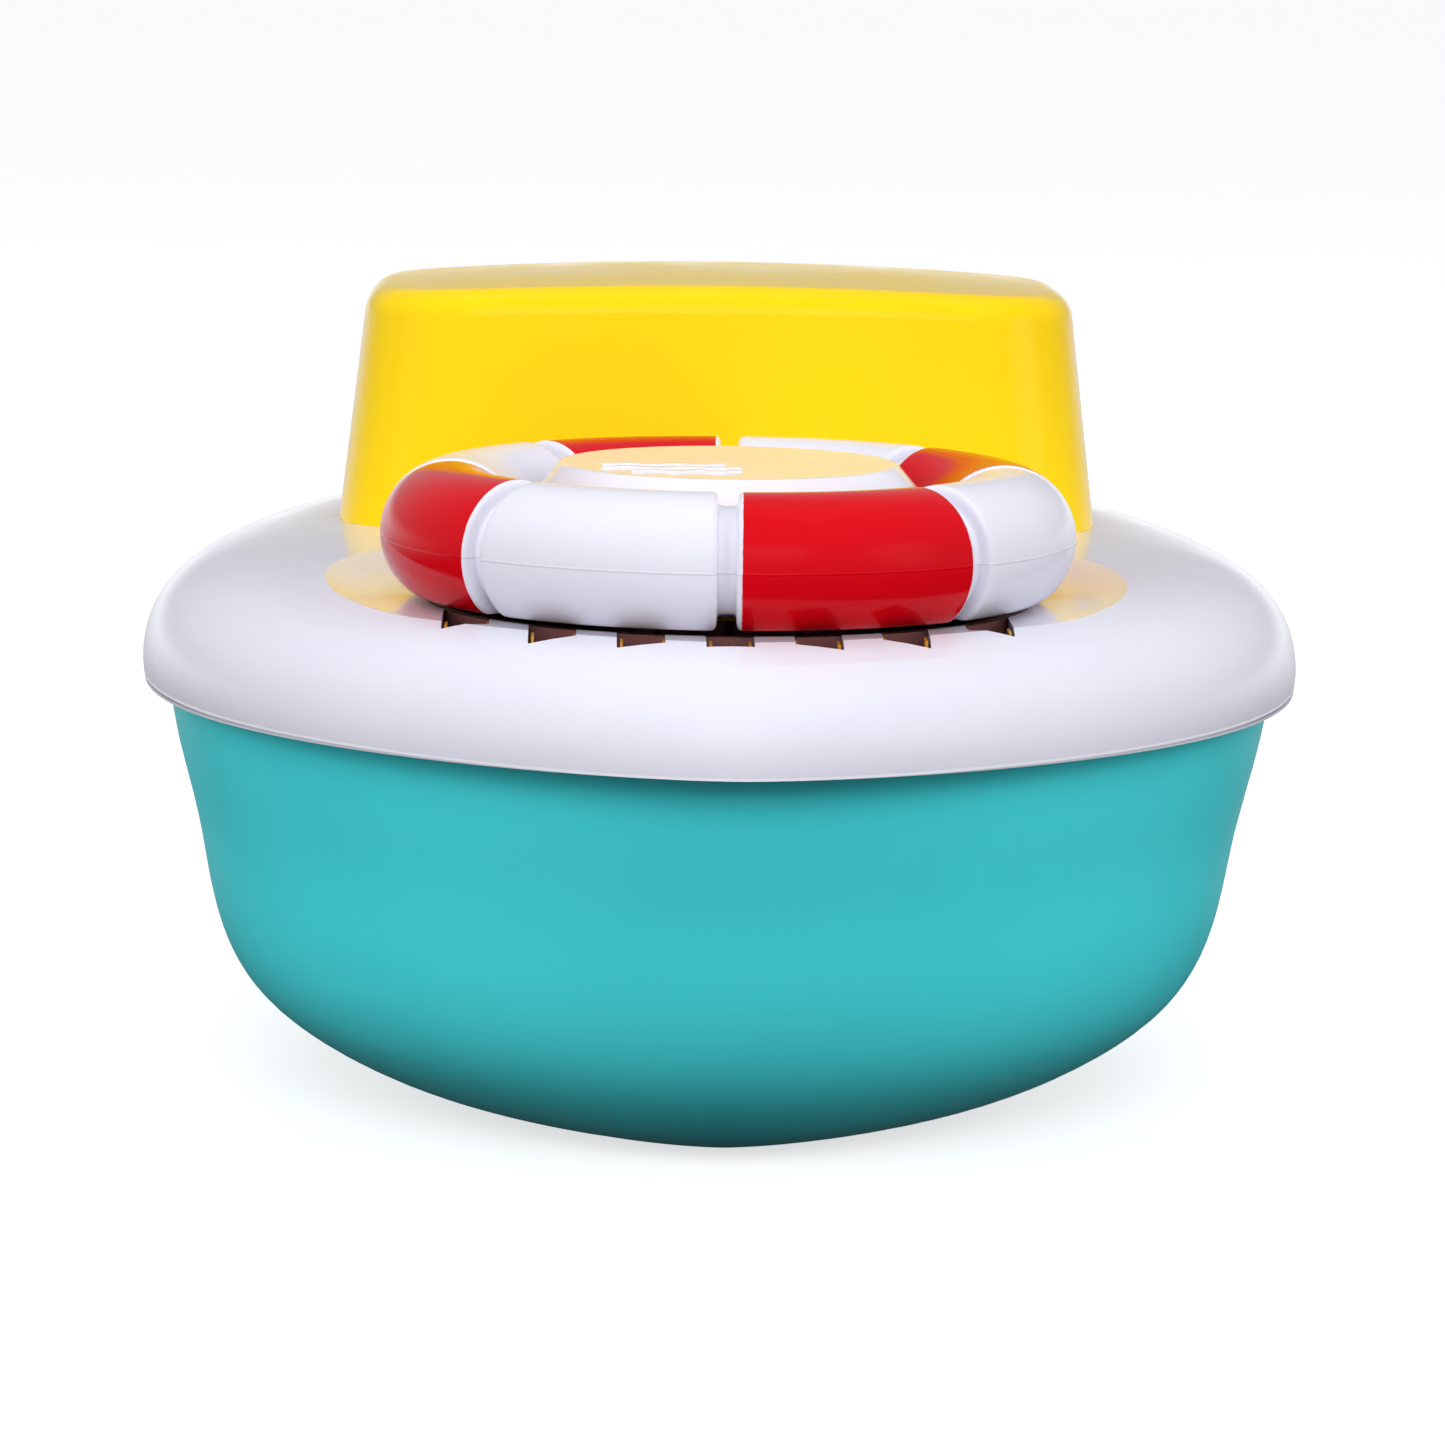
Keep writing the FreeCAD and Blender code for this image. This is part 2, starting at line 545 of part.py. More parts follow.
def make_stem_seal():
    return tube(STEM_R + 2.2, STEM_R + 0.06, DECK_UNDER + 0.2, DECK_UNDER + 2, DIAL)


def make_button_spring():
    """Open coil between the post's groove and the underside of the cap."""
    bottom, top = SPRING_SEAT + SPRING_WIRE, CAP_UNDER - SPRING_WIRE
    helix = Part.makeHelix((top - bottom) / SPRING_TURNS, top - bottom, SPRING_R)
    section = Part.Wire([Part.makeCircle(SPRING_WIRE, Vector(SPRING_R, 0, 0), Vector(0, 1, 0))])
    coil = Part.Wire(helix.Edges).makePipeShell([section], True, True)
    coil.translate(Vector(DIAL.x, DIAL.y, bottom))
    return coil


def make_squeaker_cup():
    cup = cylinder(CUP_R, CUP_FLOOR - CUP_WALL, DECK_UNDER, DIAL)
    cup = cup.fuse(cylinder(CUP_FLANGE_R, DECK_UNDER - CUP_WALL, DECK_UNDER, DIAL))
    cup = cup.cut(cylinder(CUP_R - CUP_WALL, CUP_FLOOR, DECK_UNDER + 1, DIAL))
    cup = cup.cut(cylinder(REED_R + 0.1, CUP_FLOOR - 5, CUP_FLOOR + 1, DIAL))
    for angle in (30, 150, 270):
        cup = cup.cut(cylinder(SHANK + 0.2, 60, 80, on_circle(DIAL, CUP_SCREW_CIRCLE, angle)))
        window = Part.makeBox(8, 9, 11, Vector(DIAL.x + CUP_R - 5, DIAL.y - 4.5, CUP_FLOOR + 3))
        cup = cup.cut(around(window, DIAL, angle))
    for spot in TOWERS:
        cup = cup.cut(cylinder(DECK_BOSS_R + 0.5, 60, 80, spot))
    return cup


def make_cup_screws():
    return [screw(on_circle(DIAL, CUP_SCREW_CIRCLE, angle), DECK_UNDER - CUP_WALL, 7, 2.8, 2.0)
            for angle in (30, 150, 270)]


def make_bellows():
    """Folded rubber bulb: the same zigzag outside and, a wall thickness in, inside."""
    wall, folds, wide, narrow = 1.2, 4, 14.0, 11.0
    step = (BELLOWS_TOP - CUP_FLOOR) / (2 * folds)
    outside = [(wide if count % 2 else narrow, CUP_FLOOR + step * count) for count in range(2 * folds + 1)]
    inside = [(radius - wall, min(max(z, CUP_FLOOR + wall), BELLOWS_TOP - wall)) for radius, z in outside]
    profile = outside + [(0, BELLOWS_TOP), (0, BELLOWS_TOP - wall)] + inside[::-1]
    profile += [(REED_R, CUP_FLOOR + wall), (REED_R, CUP_FLOOR)]
    return revolved(profile)


def make_reed():
    plug = cylinder(REED_R, CUP_FLOOR - CUP_WALL, CUP_FLOOR + 4, DIAL)
    plug = plug.cut(cylinder(2.2, CUP_FLOOR - 5, CUP_FLOOR + 2.5, DIAL))
    return plug.cut(Part.makeBox(5, 0.8, 20, Vector(DIAL.x - 2.5, DIAL.y - 0.4, CUP_FLOOR - 5)))


# ---- parts ----------------------------------------------------------------------------------

def save(name, shape):
    solids = [solid for piece in (shape if isinstance(shape, list) else [shape]) for solid in piece.Solids]
    whole = Part.makeCompound(solids) if len(solids) > 1 else solids[0]
    valid = all(solid.isValid() for solid in solids)
    print(f"{name}: {len(solids)} solid(s), {whole.Volume / 1000:.2f} cm3, valid {valid}")
    whole.exportStep(f"parts/{name}.step")


def main():
    os.makedirs("parts", exist_ok=True)
    body = deck_body()
    save("hull", make_hull())
    save("hull_seal", make_hull_seal())
    save("hull_screws", make_hull_screws())
    save("tower_seals", make_tower_seals())
    save("ballast_weight", make_ballast())
    save("ballast_screws", make_ballast_screws())
    save("deck", make_deck(body))
    save("dial_tray", make_dial_tray())
    save("cabin", make_cabin(body))
    save("cabin_screws", make_cabin_screws())
    save("life_ring_top", make_ring_top())
    save("life_ring_bottom", make_ring_bottom())
    save("ring_screws", make_ring_screws())
    save("click_spring", make_click_spring())
    save("click_spring_screw", make_click_screw())
    save("glide_washer", make_glide_washer())
    save("hub_post", make_hub_post())
    save("hub_screws", make_hub_screws())
    save("button_cap", make_button_cap())
    save("plunger", make_plunger())
    save("stop_washer", make_stop_washer())
    save("plunger_screw", make_plunger_screw())
    save("stem_seal", make_stem_seal())
    save("button_spring", make_button_spring())
    save("squeaker_cup", make_squeaker_cup())
    save("cup_screws", make_cup_screws())
    save("squeaker_bellows", make_bellows())
    save("squeaker_reed", make_reed())


main()
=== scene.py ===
# %% [markdown]
# A toy boat for the bath: a teal bowl of a hull, a glossy white deck, a yellow cabin and, on the
# foredeck, a life ring that turns round a push button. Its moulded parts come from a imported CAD
# model, which is loaded first and never moved. This lesson gives every part its plastic, metal or
# rubber, models the fine surfaces afresh, and then sets up the light and the camera.

# %% Load the frame
import math

import bmesh
import bpy
from mathutils import Matrix, Vector


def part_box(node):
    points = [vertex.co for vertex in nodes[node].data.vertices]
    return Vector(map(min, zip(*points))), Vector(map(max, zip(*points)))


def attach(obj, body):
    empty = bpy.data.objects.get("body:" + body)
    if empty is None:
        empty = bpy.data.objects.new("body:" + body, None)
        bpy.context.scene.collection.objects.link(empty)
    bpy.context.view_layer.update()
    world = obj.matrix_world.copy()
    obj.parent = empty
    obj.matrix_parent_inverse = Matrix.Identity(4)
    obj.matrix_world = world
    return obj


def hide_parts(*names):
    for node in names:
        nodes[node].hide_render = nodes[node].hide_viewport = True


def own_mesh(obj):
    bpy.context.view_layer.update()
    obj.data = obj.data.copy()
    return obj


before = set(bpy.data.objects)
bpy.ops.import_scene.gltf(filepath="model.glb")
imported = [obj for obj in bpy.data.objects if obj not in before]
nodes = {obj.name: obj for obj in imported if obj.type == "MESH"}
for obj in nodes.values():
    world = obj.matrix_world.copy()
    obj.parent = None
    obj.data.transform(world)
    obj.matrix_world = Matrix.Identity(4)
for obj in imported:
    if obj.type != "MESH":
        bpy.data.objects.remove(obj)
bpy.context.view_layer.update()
MM = 0.001

# %% [markdown]
# Every finish here is one Principled shader fed by a few procedural nodes. A small recipe function
# saves repeating the wiring. It makes three things that real mouldings share: a faint drift of
# colour, patches that are a little duller where hands have rubbed them, and a fine grain that
# bends the highlights. All of them read Object coordinates, so they stay on the part as it moves.

# %% A recipe for finishes
DRIFT_SCALE, RUB_SCALE = 22, 60      # a larger scale makes smaller patches
GRAIN_DEPTH = 0.2 * MM


def add_node(tree, kind, **values):
    node = tree.nodes.new(kind)
    for key, value in values.items():
        setattr(node, key, value)
    return node


def noise(tree, where, scale, detail=3.0, roughness=0.5):
    node = add_node(tree, "ShaderNodeTexNoise")
    node.inputs["Scale"].default_value = scale
    node.inputs["Detail"].default_value = detail
    node.inputs["Roughness"].default_value = roughness
    tree.links.new(where, node.inputs["Vector"])
    return node.outputs["Fac"]


def remap(tree, value, from_low, from_high, to_low, to_high):
    node = add_node(tree, "ShaderNodeMapRange")
    for name, number in (("From Min", from_low), ("From Max", from_high),
                         ("To Min", to_low), ("To Max", to_high)):
        node.inputs[name].default_value = number
    tree.links.new(value, node.inputs["Value"])
    return node.outputs["Result"]


def mix_colour(tree, amount, first, second):
    node = add_node(tree, "ShaderNodeMix", data_type="RGBA")
    tree.links.new(amount, node.inputs["Factor"])
    for socket, colour in ((node.inputs[6], first), (node.inputs[7], second)):
        if isinstance(colour, tuple):
            socket.default_value = (*colour, 1)
        else:
            tree.links.new(colour, socket)
    return node.outputs[2]


def maths(tree, operation, *values):
    node = add_node(tree, "ShaderNodeMath", operation=operation)
    for socket, value in zip(node.inputs, values):
        if isinstance(value, (int, float)):
            socket.default_value = value
        else:
            tree.links.new(value, socket)
    return node.outputs[0]


def finish(name, colour, deeper, gloss, grain=0.05, grain_scale=700, **sockets):
    """A material with drifting colour, rubbed patches and a fine grain. gloss is (low, high) roughness."""
    material = bpy.data.materials.new(name)
    material.use_nodes = True
    tree = material.node_tree
    shader = tree.nodes["Principled BSDF"]
    where = add_node(tree, "ShaderNodeTexCoord").outputs["Object"]
    drift = remap(tree, noise(tree, where, DRIFT_SCALE), 0.35, 0.65, 0, 1)
    tree.links.new(mix_colour(tree, drift, colour, deeper), shader.inputs["Base Color"])
    rubbed = remap(tree, noise(tree, where, RUB_SCALE, 6, 0.65), 0.35, 0.7, *gloss)
    tree.links.new(rubbed, shader.inputs["Roughness"])
    bump = add_node(tree, "ShaderNodeBump")
    bump.inputs["Strength"].default_value = grain
    bump.inputs["Distance"].default_value = GRAIN_DEPTH
    tree.links.new(noise(tree, where, grain_scale, 2), bump.inputs["Height"])
    tree.links.new(bump.outputs["Normal"], shader.inputs["Normal"])
    for socket, value in sockets.items():
        shader.inputs[socket.replace("_", " ")].default_value = value
    return material


# One gloss white serves the deck and the life ring: colour, deeper colour, roughness, grain, its scale.
GLOSS_WHITE = ((0.815, 0.805, 0.900), (0.790, 0.780, 0.880), (0.09, 0.17), 0.03, 350)
teal = finish("teal_satin_plastic", (0.090, 0.940, 0.990), (0.082, 0.900, 0.960), (0.30, 0.42), 0.10, 900,
              Specular_IOR_Level=0.35)
white = finish("white_gloss_plastic", *GLOSS_WHITE)
yellow = finish("yellow_gloss_plastic", (0.990, 0.680, 0.004), (0.970, 0.650, 0.003), (0.14, 0.24), 0.03, 350,
                Specular_IOR_Level=0.2)
cap_white = finish("cap_gloss_plastic", (0.840, 0.830, 0.900), (0.820, 0.810, 0.880), (0.06, 0.12), 0.03, 350)
# Amber is the clicker parts' own colour. The same amber also paints the cabin's reflection in the slot walls.
amber = finish("amber_click_plastic_and_painted_reflection", (0.62, 0.30, 0.02), (0.55, 0.25, 0.02), (0.25, 0.35), 0.08)
# The dial tray's dark brown is painted shade: it stands for the shadow in the well under the ring, seen
# through the slots.
shade_brown = finish("tray_brown_painted_shade", (0.190, 0.075, 0.072), (0.165, 0.064, 0.061), (0.20, 0.32), 0.08)
rubber = finish("black_seal_rubber", (0.030, 0.030, 0.032), (0.045, 0.045, 0.048), (0.55, 0.75), 0.30)
steel = finish("stainless_screw_steel", (0.62, 0.62, 0.64), (0.55, 0.55, 0.57), (0.22, 0.38), 0.15,
               Metallic=1.0)
plate = finish("zinc_plate_steel", (0.50, 0.51, 0.53), (0.40, 0.41, 0.44), (0.35, 0.60), 0.25, Metallic=1.0)
print("made", len(bpy.data.materials), "finishes")

# %% [markdown]
# Two mould halves never meet perfectly, so a moulding keeps a hair-thin raised line where they
# closed. It is far too fine to model, but a second bump can draw it: the height rises in a narrow
# band round one level of the part.

# %% A mould line at one height
def mould_line(material, height, half_width, distance):
    tree = material.node_tree
    shader = tree.nodes["Principled BSDF"]
    where = tree.nodes["Texture Coordinate"].outputs["Object"]
    split = add_node(tree, "ShaderNodeSeparateXYZ")
    tree.links.new(where, split.inputs["Vector"])
    away = maths(tree, "ABSOLUTE", maths(tree, "SUBTRACT", split.outputs["Z"], height))
    ridge = remap(tree, away, 0, half_width, 1, 0)
    bump = add_node(tree, "ShaderNodeBump")
    bump.inputs["Strength"].default_value = 0.8
    bump.inputs["Distance"].default_value = distance
    tree.links.new(ridge, bump.inputs["Height"])
    tree.links.new(shader.inputs["Normal"].links[0].from_socket, bump.inputs["Normal"])
    tree.links.new(bump.outputs["Normal"], shader.inputs["Normal"])


DECK_LINE_UP = 3.1 * MM              # above the lower edge of the deck's skirt
deck_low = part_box("deck")[0]
mould_line(white, deck_low.z + DECK_LINE_UP, 0.35 * MM, 0.12 * MM)

# %% [markdown]
# The life ring is one white moulding whose alternate eighths are sprayed red through a mask. The
# paint stops just short of each groove, so a white margin shows. One material can do both: it works
# out the angle round the ring's centre, counts eighths, and measures how far each point is from the
# nearest groove.

# %% Painted life ring
ring_low, ring_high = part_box("life_ring_top")
ring_centre = (ring_low + ring_high) / 2
RING_TURN = math.radians(-1.4)       # the ring rests a little off the middle
RING_LINE_UP = 0.75 * MM             # above the lower edge of the ring's upper half
RED, DEEPER_RED = (0.690, 0.0025, 0.009), (0.650, 0.002, 0.008)
PAINT_STARTS, PAINT_FULL = 1.95 * MM, 2.02 * MM      # distance from a groove's middle
RAGGED = 0.08 * MM                   # how far the paint's edge wanders either way


def painted_ring():
    material = finish("ring_white_and_red", *GLOSS_WHITE, Specular_IOR_Level=0.14)
    tree = material.node_tree
    shader = tree.nodes["Principled BSDF"]
    plastic = shader.inputs["Base Color"].links[0].from_socket
    where = tree.nodes["Texture Coordinate"].outputs["Object"]
    centred = add_node(tree, "ShaderNodeMapping")
    centred.inputs["Location"].default_value = (-ring_centre.x, -ring_centre.y, 0)
    tree.links.new(where, centred.inputs["Vector"])
    split = add_node(tree, "ShaderNodeSeparateXYZ")
    tree.links.new(centred.outputs["Vector"], split.inputs["Vector"])
    across, along = split.outputs["X"], split.outputs["Y"]
    turn = maths(tree, "ADD", maths(tree, "ARCTAN2", across, maths(tree, "MULTIPLY", along, -1)), -RING_TURN)
    eighths = maths(tree, "ADD", maths(tree, "DIVIDE", turn, math.pi / 4), 4)
    is_red = maths(tree, "LESS_THAN", maths(tree, "MODULO", eighths, 2), 1)
    part = maths(tree, "FRACT", eighths)
    nearest = maths(tree, "MINIMUM", part, maths(tree, "SUBTRACT", 1, part))
    reach = maths(tree, "SQRT", maths(tree, "ADD", maths(tree, "MULTIPLY", across, across),
                                      maths(tree, "MULTIPLY", along, along)))
    away = maths(tree, "MULTIPLY", reach, maths(tree, "SINE", maths(tree, "MULTIPLY", nearest, math.pi / 4)))
    ragged = remap(tree, noise(tree, where, 900, 3), 0, 1, -RAGGED, RAGGED)
    edge = remap(tree, maths(tree, "ADD", away, ragged), PAINT_STARTS, PAINT_FULL, 0, 1)
    amount = maths(tree, "MULTIPLY", is_red, edge)
    red_drift = remap(tree, noise(tree, where, 40), 0.3, 0.7, 0, 1)
    red = mix_colour(tree, red_drift, RED, DEEPER_RED)
    tree.links.new(mix_colour(tree, amount, plastic, red), shader.inputs["Base Color"])
    return material


ring_paint = painted_ring()
mould_line(ring_paint, ring_low.z + RING_LINE_UP, 0.22 * MM, 0.10 * MM)

# %% Give the CAD nodes their finishes
FINISHES = {
    # The dial tray takes the brown of painted shade.
    "hull": teal, "deck": white, "dial_tray": shade_brown, "cabin": yellow, "button_cap": cap_white,
    "life_ring_top": ring_paint, "life_ring_bottom": ring_paint,
    "click_spring": amber, "glide_washer": amber, "plunger": amber, "stop_washer": amber,
    "squeaker_reed": amber, "hub_post": yellow, "squeaker_cup": yellow, "ballast_weight": plate,
    "hull_seal": rubber, "tower_seals": rubber, "stem_seal": rubber, "squeaker_bellows": rubber,
}
for name, node in nodes.items():
    node.data.materials.clear()
    node.data.materials.append(FINISHES.get(name, steel))
print("finished", len(nodes), "CAD nodes")

# %% [markdown]
# The life ring is the piece people look at, so its skin is modelled again with softer edges than
# the CAD part has. A round section is carried round the dial one station at a time. Between the
# grooves the stations are simply turned. Across a groove they step sideways instead, which keeps
# its walls parallel, while the section shrinks along a rounded profile and grows again.

# %% Carry a closed section through stations
CREASE = math.radians(40)            # edges that turn more than this stay sharp


def place_loop(verts, order, places):
    for vert in verts:
        vert.co = places[order[vert]]


def carried(stations):
    """A bmesh skin through equal closed loops of points. Returns it with its first and last edges."""
    bm = bmesh.new()
    start = bmesh.ops.create_circle(bm, segments=len(stations[0]), radius=1)["verts"]
    order = {vert: count for count, vert in enumerate(start)}
    place_loop(start, order, stations[0])
    first = list(bm.edges)
    last = first
    for places in stations[1:]:
        made = bmesh.ops.extrude_edge_only(bm, edges=last)["geom"]
        new = [item for item in made if isinstance(item, bmesh.types.BMVert)]
        last = [item for item in made if isinstance(item, bmesh.types.BMEdge)
                and item.verts[0] in new and item.verts[1] in new]
        for vert in new:
            order[vert] = next(order[edge.other_vert(vert)] for edge in vert.link_edges
                               if edge.other_vert(vert) in order and edge not in last)
        place_loop(new, order, places)
    return bm, first, last


def make_piece(name, bm, material, body, slot, *stands_for):
    bmesh.ops.recalc_face_normals(bm, faces=bm.faces)
    mesh = bpy.data.meshes.new(name)
    bm.to_mesh(mesh)
    bm.free()
    mesh.shade_smooth()
    mesh.set_sharp_from_angle(angle=CREASE)
    piece = bpy.data.objects.new(name, mesh)
    bpy.context.scene.collection.objects.link(piece)
    mesh.materials.append(material)
    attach(piece, body)
    if stands_for:
        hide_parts(*stands_for)
    print(name, len(mesh.polygons), "faces")
    return piece


# %% The life ring's skin
TUBE_R = 9.7 * MM
CIRCLE_R = (ring_high.x - ring_low.x) / 2 - TUBE_R
RING_Z = ring_high.z - TUBE_R
GROOVE_DEPTH = 1.8
# Half of a groove's profile, in mm: distance from its middle, and how far the surface drops there.
GROOVE_EDGE = [(2.3, 0), (1.95, 0.02), (1.7, 0.1), (1.47, 0.3), (1.31, 0.65), (1.25, 1.1), (1.22, 1.5),
               (1.05, 1.72), (0.65, GROOVE_DEPTH)]
groove = [(-side, drop) for side, drop in GROOVE_EDGE] + [(0, GROOVE_DEPTH)] + GROOVE_EDGE[::-1]
TUBE_STEPS, BETWEEN = 72, 14         # points round the section, and stations between two grooves
RING_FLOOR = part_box("life_ring_bottom")[0].z + 1.25 * MM
FLOOR_SOFTNESS = 0.45 * MM           # radius of the corner round the flat underside
FLOOR_LIFT = 1.2                     # rise of the underside for each unit of a groove's depth


def tube_point(step, drop):
    """Distance from the dial's axis, and height, of one point of the round section.

    The underside is flat with a soft corner, and a groove runs out through it in a small arch.
    """
    turn = 2 * math.pi * step / TUBE_STEPS
    radius = TUBE_R - drop
    floor = RING_FLOOR + FLOOR_LIFT * drop
    above = RING_Z + radius * math.sin(turn) - floor
    return CIRCLE_R + radius * math.cos(turn), floor + (above + math.hypot(above, FLOOR_SOFTNESS)) / 2


def at(angle, forward, sideways, z):
    return Vector((ring_centre.x + forward * math.sin(angle) + sideways * math.cos(angle),
                   ring_centre.y - forward * math.cos(angle) + sideways * math.sin(angle), z))


stations = []
for eighth in range(8):
    angle = eighth * math.pi / 4 + RING_TURN
    for side, drop in groove:
        section = [tube_point(step, drop * MM) for step in range(TUBE_STEPS)]
        stations.append([at(angle, math.sqrt(reach ** 2 - (side * MM) ** 2), side * MM, z)
                         for reach, z in section])
    section = [tube_point(step, 0) for step in range(TUBE_STEPS)]
    for count in range(1, BETWEEN + 1):
        share = count / (BETWEEN + 1)
        places = []
        for reach, z in section:
            margin = math.asin(groove[-1][0] * MM / reach)
            places.append(at(angle + margin + share * (math.pi / 4 - 2 * margin), reach, 0, z))
        stations.append(places)
bm, first, last = carried(stations)
bmesh.ops.bridge_loops(bm, edges=first + last)
make_piece("life_ring_skin", bm, ring_paint, "life_ring", "ring_plastic", "life_ring_top", "life_ring_bottom")

# %% [markdown]
# Inside the ring a flat web joins it to a sleeve that turns on the post. Both are round, so one
# outline of eight corners, spun once round the dial's axis, makes them together.

# %% The ring's web and sleeve, turned in one spin
WEB_R, SLEEVE_R, BORE_R = 29.6 * MM, 18 * MM, 15.08 * MM
sleeve_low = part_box("life_ring_bottom")[0].z
post_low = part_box("hub_post")[0]
web_top, sleeve_top = post_low.z + 7 * MM, post_low.z + 9.8 * MM
web_under = web_top - 2 * MM
profile = [(WEB_R, web_under), (WEB_R, web_top), (SLEEVE_R, web_top), (SLEEVE_R, sleeve_top),
           (BORE_R, sleeve_top), (BORE_R, sleeve_low), (SLEEVE_R, sleeve_low), (SLEEVE_R, web_under)]
bm = bmesh.new()
corners = [bm.verts.new((ring_centre.x + reach, ring_centre.y, z)) for reach, z in profile]
outline = [bm.edges.new((corners[i - 1], corners[i])) for i in range(len(corners))]
bmesh.ops.spin(bm, geom=corners + outline, cent=(ring_centre.x, ring_centre.y, 0), axis=(0, 0, 1),
               angle=2 * math.pi, steps=96, use_merge=True, use_duplicate=False)
bmesh.ops.remove_doubles(bm, verts=bm.verts, dist=1e-6)
make_piece("life_ring_web", bm, ring_paint, "life_ring", "ring_plastic")

# %% [markdown]
# Thin gold lines run down the sides of the slots under the ring. They are a painted reflection of the
# yellow cabin in the glossy side walls of each slot, drawn by an amber strip on each side. Each strip
# is a piece of grid standing on edge, given its wall by solidify.

# %% Painted reflections in the sound slots
SLOT_WIDTH, SLOT_PITCH, SLOT_SHIFT = 6.3 * MM, 11.6 * MM, -0.6 * MM
SLOT_REACH, REACH_LOSS = 49.3 * MM, 0.045            # the outer slots end a little nearer to the dial
# Sizes of the amber strips that paint the cabin's reflection in the slot walls.
REFLECTION_LENGTH, REFLECTION_HEIGHT, REFLECTION_WALL = 4.5 * MM, 1.6 * MM, 0.35 * MM
REFLECTION_INSET, REFLECTION_BACK, REFLECTION_DROP = 0.42 * MM, 2.6 * MM, 1.15 * MM
pan_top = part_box("life_ring_bottom")[0].z + 0.55 * MM


def slot_reflection(name, x, reach):
    bm = bmesh.new()
    for side in (-1, 1):
        made = bmesh.ops.create_grid(bm, x_segments=6, y_segments=2, size=0.5)["verts"]
        bmesh.ops.rotate(bm, verts=made, cent=(0, 0, 0), matrix=Matrix.Rotation(math.pi / 2, 3, "Y"))
        bmesh.ops.rotate(bm, verts=made, cent=(0, 0, 0), matrix=Matrix.Rotation(math.pi / 2, 3, "X"))
        bmesh.ops.scale(bm, verts=made, vec=(1, REFLECTION_LENGTH, REFLECTION_HEIGHT))
        place = (ring_centre.x + x + side * (SLOT_WIDTH / 2 - REFLECTION_INSET),
                 ring_centre.y - reach + REFLECTION_BACK, pan_top - REFLECTION_DROP)
        bmesh.ops.translate(bm, verts=made, vec=place)
    bmesh.ops.recalc_face_normals(bm, faces=bm.faces)
    bmesh.ops.solidify(bm, geom=bm.faces, thickness=REFLECTION_WALL)
    make_piece(name, bm, amber, "boat", "amber_plastic")


for count in range(-3, 4):
    x = count * SLOT_PITCH + SLOT_SHIFT
    slot_reflection(f"slot_painted_reflection_{count + 4}", x, math.sqrt((SLOT_REACH - REACH_LOSS * abs(x)) ** 2 - x ** 2))

# %% [markdown]
# Under the cap, the return spring stands on the post, and low in the hull the squeaker's bellows
# stands on its cup. Both are pressed from above, so a rigid mesh would poke through its neighbour.
# A merged copy of each stands for the CAD part.


def giving_copy(name, node, material, slot):
    bm = bmesh.new()
    bm.from_mesh(nodes[node].data)
    bmesh.ops.remove_doubles(bm, verts=bm.verts, dist=1e-7)
    piece = make_piece(name, bm, material, "boat", slot, node)
    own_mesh(piece)


giving_copy("return_spring", "button_spring", steel, "stainless")
giving_copy("bellows_soft", "squeaker_bellows", rubber, "soft_rubber")

# %% [markdown]
# The button carries a small raised mark. Three waves suit a bath boat. Each wave starts as a thin
# strip of a grid, is bent along a sine, drawn up by one extrusion and has its top edge rounded.

# %% Waves on the button
WAVE_WIDTH, WAVE_SWING, WAVE_COUNT = 1.5 * MM, 0.7 * MM, 2.5
WAVE_SUNK, WAVE_RAISED, WAVE_EDGE = 0.15 * MM, 0.42 * MM, 0.12 * MM
# Places across and along from the cap's middle, and lengths, in mm.
WAVES = [(-6.0, -14.0, 15), (-8.0, -9.5, 19), (-9.0, -5.0, 17)]
cap_low, cap_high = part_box("button_cap")
cap_centre = (cap_low + cap_high) / 2


def wave(name, centre, length):
    bm = bmesh.new()
    bmesh.ops.create_grid(bm, x_segments=40, y_segments=2, size=0.5)
    bmesh.ops.scale(bm, vec=(length, WAVE_WIDTH, 1), verts=bm.verts)
    for vert in bm.verts:
        taper = 1 - (2 * vert.co.x / length) ** 4
        bend = WAVE_SWING * math.sin(2 * math.pi * WAVE_COUNT * vert.co.x / length)
        vert.co.y = vert.co.y * (0.35 + 0.65 * taper) + bend
    bmesh.ops.translate(bm, vec=(centre[0], centre[1], cap_high.z - WAVE_SUNK), verts=bm.verts)
    raised = bmesh.ops.extrude_face_region(bm, geom=list(bm.faces))["geom"]
    top = [item for item in raised if isinstance(item, bmesh.types.BMVert)]
    bmesh.ops.translate(bm, vec=(0, 0, WAVE_RAISED), verts=top)
    rim = [edge for edge in bm.edges if all(vert in top for vert in edge.verts)
           and any(face.normal.z < 0.5 for face in edge.link_faces)]
    bmesh.ops.recalc_face_normals(bm, faces=bm.faces)
    bmesh.ops.bevel(bm, geom=rim, offset=WAVE_EDGE, segments=3, profile=0.5, affect="EDGES", material=-1)
    make_piece(name, bm, cap_white, "button", "cap_plastic")


for count, (across, along, length) in enumerate(WAVES):
    wave(f"cap_wave_{count + 1}", (cap_centre.x + across * MM, cap_centre.y + along * MM), length * MM)

# %% [markdown]
# A studio shot of a glossy toy needs a pale floor that keeps only a soft shadow, and something broad
# and even to mirror. The floor glows faintly, and the world is a gradient: dark below, even all
# round, and brighter low down behind the boat.

# %% Floor and surroundings
floor_white = finish("pale_floor", (0.66, 0.66, 0.66), (0.65, 0.65, 0.65), (0.6, 0.7), 0.0)
glow = floor_white.node_tree.nodes["Principled BSDF"]
glow.inputs["Emission Color"].default_value = (1, 1, 1, 1)
glow.inputs["Emission Strength"].default_value = 0.67
bm = bmesh.new()
bmesh.ops.create_grid(bm, x_segments=1, y_segments=1, size=20)
floor_mesh = bpy.data.meshes.new("floor")
bm.to_mesh(floor_mesh)
bm.free()
floor = bpy.data.objects.new("floor", floor_mesh)
bpy.context.scene.collection.objects.link(floor)
floor.data.materials.append(floor_white)
floor.visible_diffuse = False
floor.visible_glossy = False

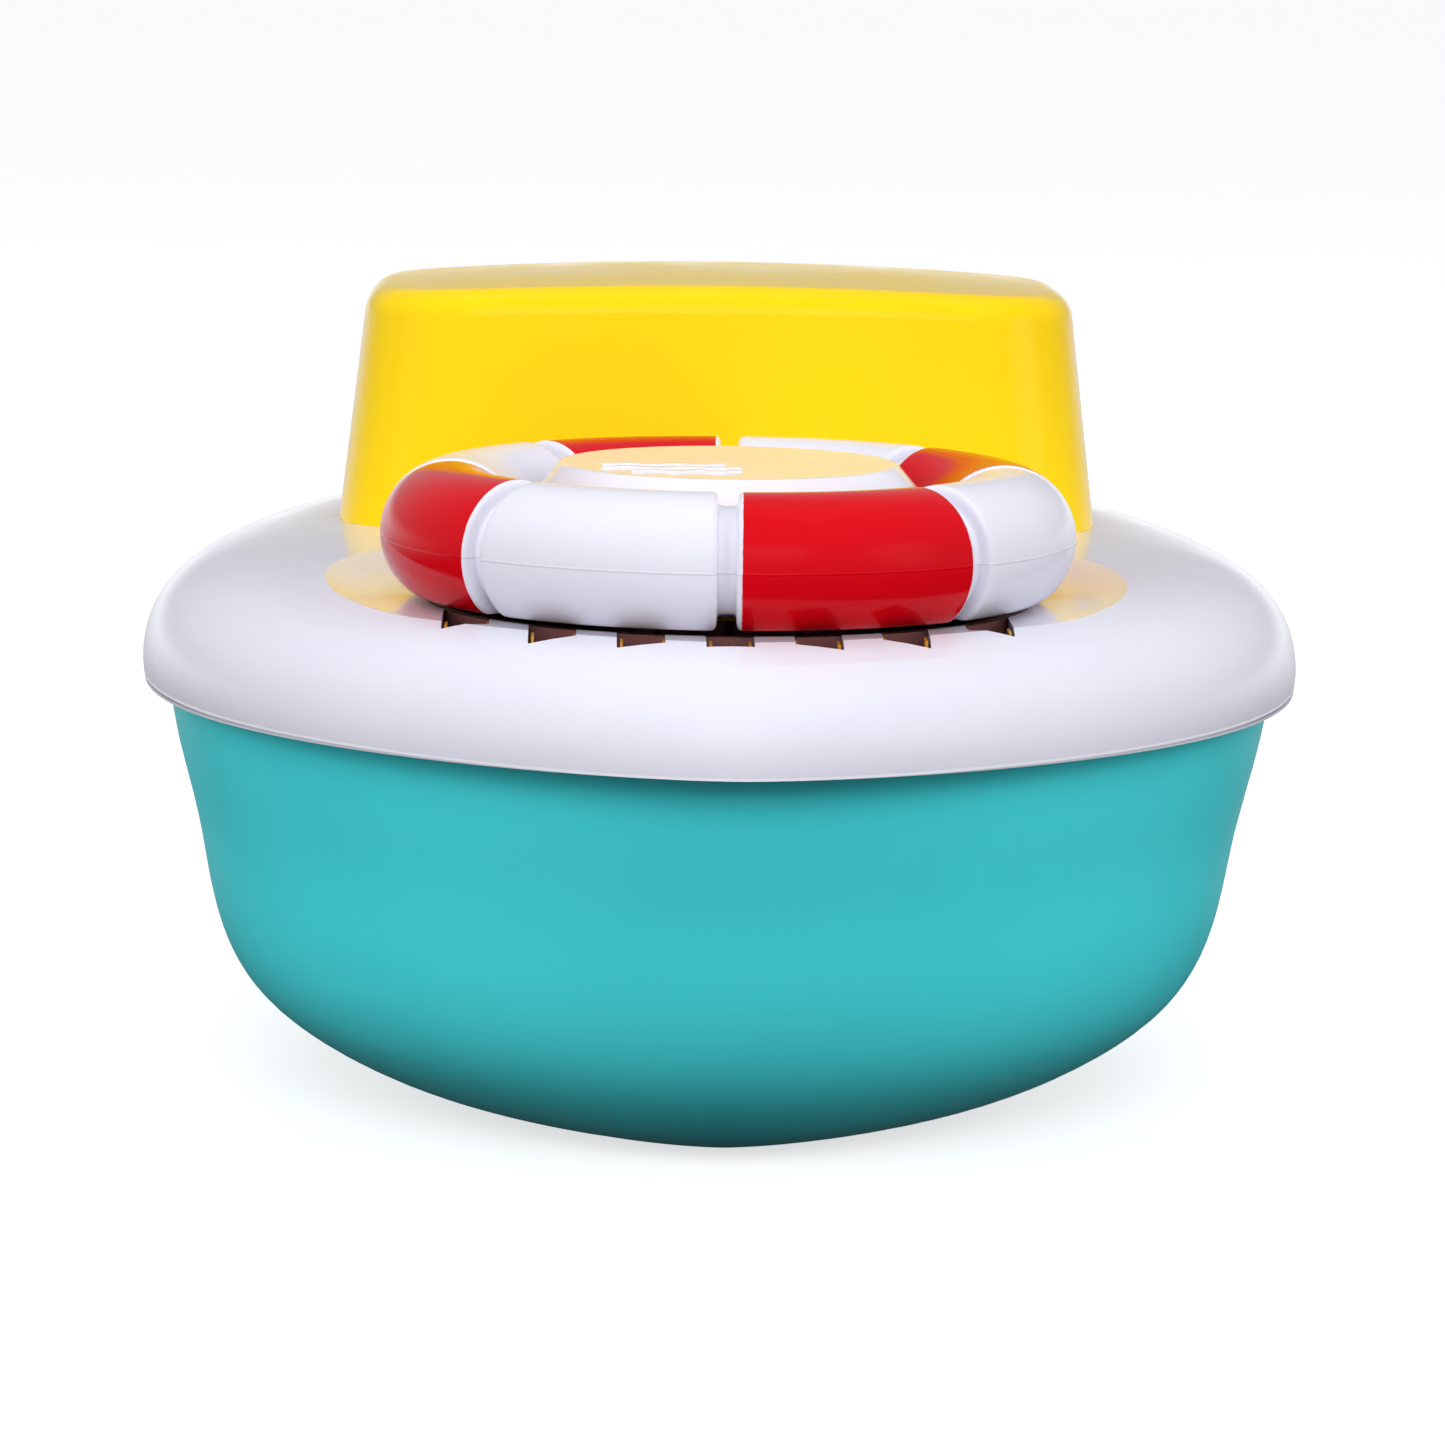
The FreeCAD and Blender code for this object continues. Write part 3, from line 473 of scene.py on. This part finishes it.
world = bpy.data.worlds.new("studio")
bpy.context.scene.world = world
world.use_nodes = True
tree = world.node_tree
background = tree.nodes["Background"]
direction = add_node(tree, "ShaderNodeTexCoord").outputs["Generated"]
split = add_node(tree, "ShaderNodeSeparateXYZ")
tree.links.new(direction, split.inputs["Vector"])
backdrop = maths(tree, "MULTIPLY", remap(tree, split.outputs["Y"], 0.3, 0.9, 0, 1),
                 remap(tree, split.outputs["Z"], 0.0, 0.10, 0.80, 0.06))
shade = maths(tree, "MULTIPLY", remap(tree, split.outputs["Z"], -0.26, 0.0, 0.04, 1.0),
              maths(tree, "ADD", backdrop, 0.40))
tree.links.new(shade, background.inputs["Strength"])
background.inputs["Color"].default_value = (0.95, 0.96, 1.0, 1)

# %% [markdown]
# Four large area lights give the shape: one in front, one on each side and a weak one overhead. They
# are hidden from reflections, because a lamp's hard rectangle would show in the gloss.

# %% Softboxes
def softbox(name, place, aim, width, height, power):
    light = bpy.data.lights.new(name, "AREA")
    light.shape = "RECTANGLE"
    light.size, light.size_y, light.energy = width, height, power
    lamp = bpy.data.objects.new(name, light)
    bpy.context.scene.collection.objects.link(lamp)
    lamp.location = place
    lamp.rotation_euler = (Vector(aim) - Vector(place)).to_track_quat("-Z", "Y").to_euler()
    lamp.visible_glossy = False


softbox("front_softbox", (0, -2.0, 1.10), (0, 0, 0.05), 1.7, 0.8, 23)
softbox("left_softbox", (-1.3, -0.8, 0.50), (0, 0, 0.06), 0.6, 0.8, 8)
softbox("right_softbox", (1.3, -0.8, 0.50), (0, 0, 0.06), 0.6, 0.8, 8)
softbox("overhead_softbox", (0, 0.1, 1.2), (0, 0, 0.05), 0.9, 0.6, 3.0)

# %% [markdown]
# The camera looks at the bow from a little above, a hair off the middle, with a long lens that keeps
# the shapes undistorted. It is placed by its angles and its distance from a target inside the boat.

# %% Camera
AZIMUTH, ELEVATION, ROLL = math.radians(-1.3), math.radians(8.3), math.radians(0.75)
DISTANCE = 0.850
target = Vector((0.0004, -0.020, 0.0545))
back = Vector((math.sin(AZIMUTH) * math.cos(ELEVATION), -math.cos(AZIMUTH) * math.cos(ELEVATION),
               math.sin(ELEVATION)))
camera_data = bpy.data.cameras.new("camera")
camera_data.lens, camera_data.sensor_width = 146.6, 36
camera = bpy.data.objects.new("camera", camera_data)
bpy.context.scene.collection.objects.link(camera)
camera.location = target + back * DISTANCE
aim = (-back).to_track_quat("-Z", "Y").to_matrix()
camera.rotation_euler = (aim @ Matrix.Rotation(ROLL, 3, "Z")).to_euler()
bpy.context.scene.camera = camera
bpy.context.scene.view_settings.view_transform = "Standard"
